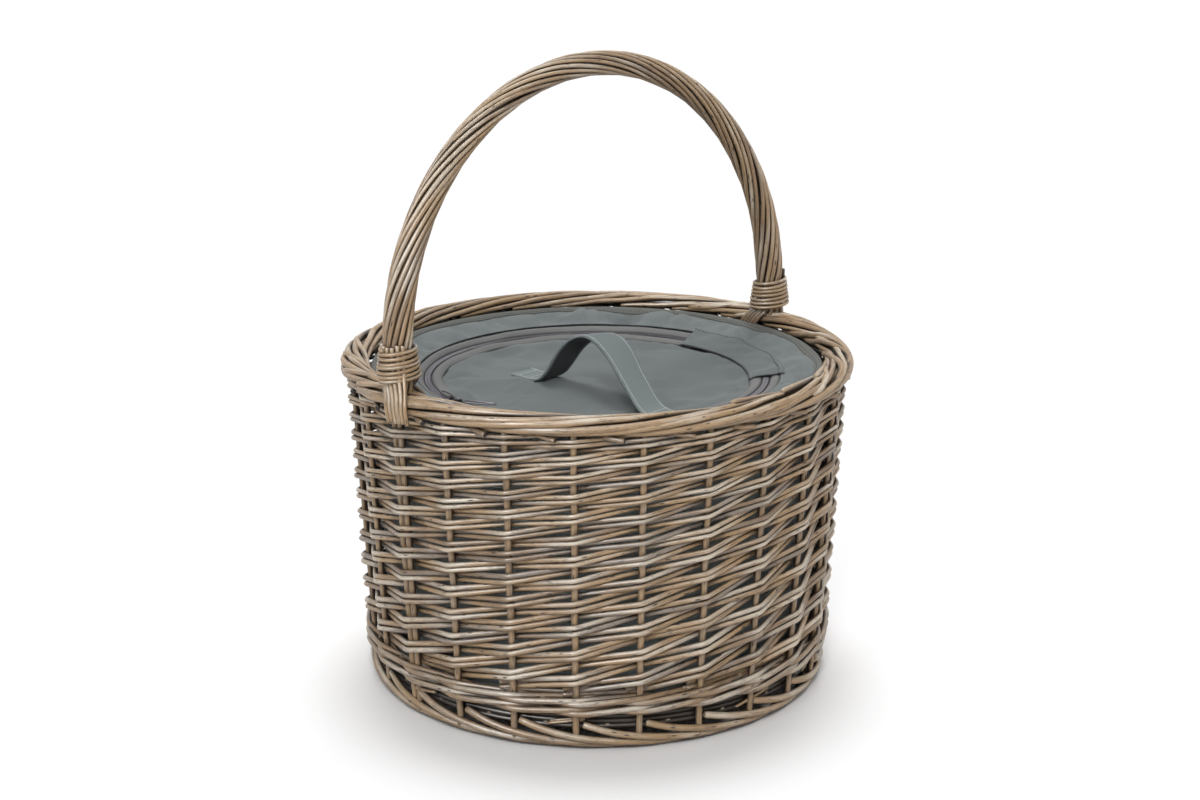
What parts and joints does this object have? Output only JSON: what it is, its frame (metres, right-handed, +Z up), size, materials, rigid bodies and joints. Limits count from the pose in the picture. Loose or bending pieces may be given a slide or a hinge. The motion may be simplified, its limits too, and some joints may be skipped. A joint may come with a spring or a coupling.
{
  "type": "chiller basket",
  "caption": "Round willow basket with a fixed bow handle and an insulated cloth liner closed by a hinged, zipped lid with a grab strap.",
  "frame": {"origin": "on the floor under the middle of the basket", "axes": "+Z up, +X along the span of the handle, towards the lid's cloth hinge"},
  "size_m": [0.4094, 0.4, 0.4878],
  "materials": {
    "willow_weave": "antique washed willow rods, satin",
    "willow_frame": "antique washed willow rods, satin",
    "willow_handle": "antique washed willow rods, satin",
    "liner_cloth": "plain woven polyester, matt",
    "hem_tape": "woven binding tape, matt",
    "zip_tape": "herringbone zip tape, matt",
    "zip_teeth": "nylon coil",
    "foam": "closed cell foam",
    "foil_lining": "silvery heat sealed lining film",
    "slider_metal": "black painted zinc, semi gloss"
  },
  "bodies": {
    "basket": {"stakes_and_border": "willow_frame", "foot_border": "willow_frame", "base_weave": "willow_weave", "base_sticks": "willow_frame", "wale_rod_1": "willow_frame", "wale_rod_2": "willow_frame", "wale_rod_3": "willow_frame", "weaver_01": "willow_weave", "weaver_02": "willow_weave", "weaver_03": "willow_weave", "weaver_04": "willow_weave", "weaver_05": "willow_weave", "weaver_06": "willow_weave", "weaver_07": "willow_weave", "weaver_08": "willow_weave", "weaver_09": "willow_weave", "weaver_10": "willow_weave", "weaver_11": "willow_weave", "weaver_12": "willow_weave", "weaver_13": "willow_weave", "weaver_14": "willow_weave", "weaver_15": "willow_weave", "weaver_16": "willow_weave", "weaver_17": "willow_weave", "weaver_18": "willow_weave", "weaver_19": "willow_weave", "weaver_20": "willow_weave", "weaver_21": "willow_weave", "weaver_22": "willow_weave", "weaver_23": "willow_weave", "weaver_24": "willow_weave", "handle_bow": "willow_handle", "handle_rods": "willow_handle", "left_binding": "willow_handle", "right_binding": "willow_handle", "left_outer_tie": "willow_handle", "left_inner_tie": "willow_handle", "right_outer_tie": "willow_handle", "right_inner_tie": "willow_handle", "bag_outer": "liner_cloth", "bag_foam_base": "foam", "bag_foam_wall": "foam", "bag_lining": "foil_lining", "bag_collar": "liner_cloth", "bag_hem": "hem_tape", "collar_zip_tape": "zip_tape", "collar_zip_teeth": "zip_teeth", "hinge_patch": "liner_cloth"},
    "lid": {"lid_top": "liner_cloth", "lid_foam": "foam", "lid_lining": "foil_lining", "lid_zip_tape": "zip_tape", "lid_zip_teeth": "zip_teeth", "lid_strap": "liner_cloth"},
    "front_slider": {"front_zip_slider": "slider_metal"},
    "back_slider": {"back_zip_slider": "slider_metal"},
    "front_pull": {"front_zip_pull": "slider_metal"},
    "back_pull": {"back_zip_pull": "slider_metal"}
  },
  "joints": [
    {"name": "lid_hinge", "type": "hinge", "parent": "basket", "child": "lid", "pos_m": [0.11688, -0.03132, 0.2368], "axis": [0.2588, 0.9659, 0], "range_deg": [0, 55]},
    {"name": "front_zip_run", "type": "hinge", "parent": "lid", "child": "front_slider", "pos_m": [0, 0, 0.2368], "axis": [0, 0, 1], "range_deg": [0, 121]},
    {"name": "back_zip_run", "type": "hinge", "parent": "lid", "child": "back_slider", "pos_m": [0, 0, 0.2368], "axis": [0, 0, -1], "range_deg": [0, 147]},
    {"name": "front_pull_flip", "type": "hinge", "parent": "front_slider", "child": "front_pull", "pos_m": [-0.132, -0.00089, 0.24005], "axis": [-1, -0.0068, 0], "range_deg": [0, 100]},
    {"name": "back_pull_flip", "type": "hinge", "parent": "back_slider", "child": "back_pull", "pos_m": [-0.13161, 0.0101, 0.24005], "axis": [0.9971, -0.0765, 0], "range_deg": [0, 100]}
  ]
}
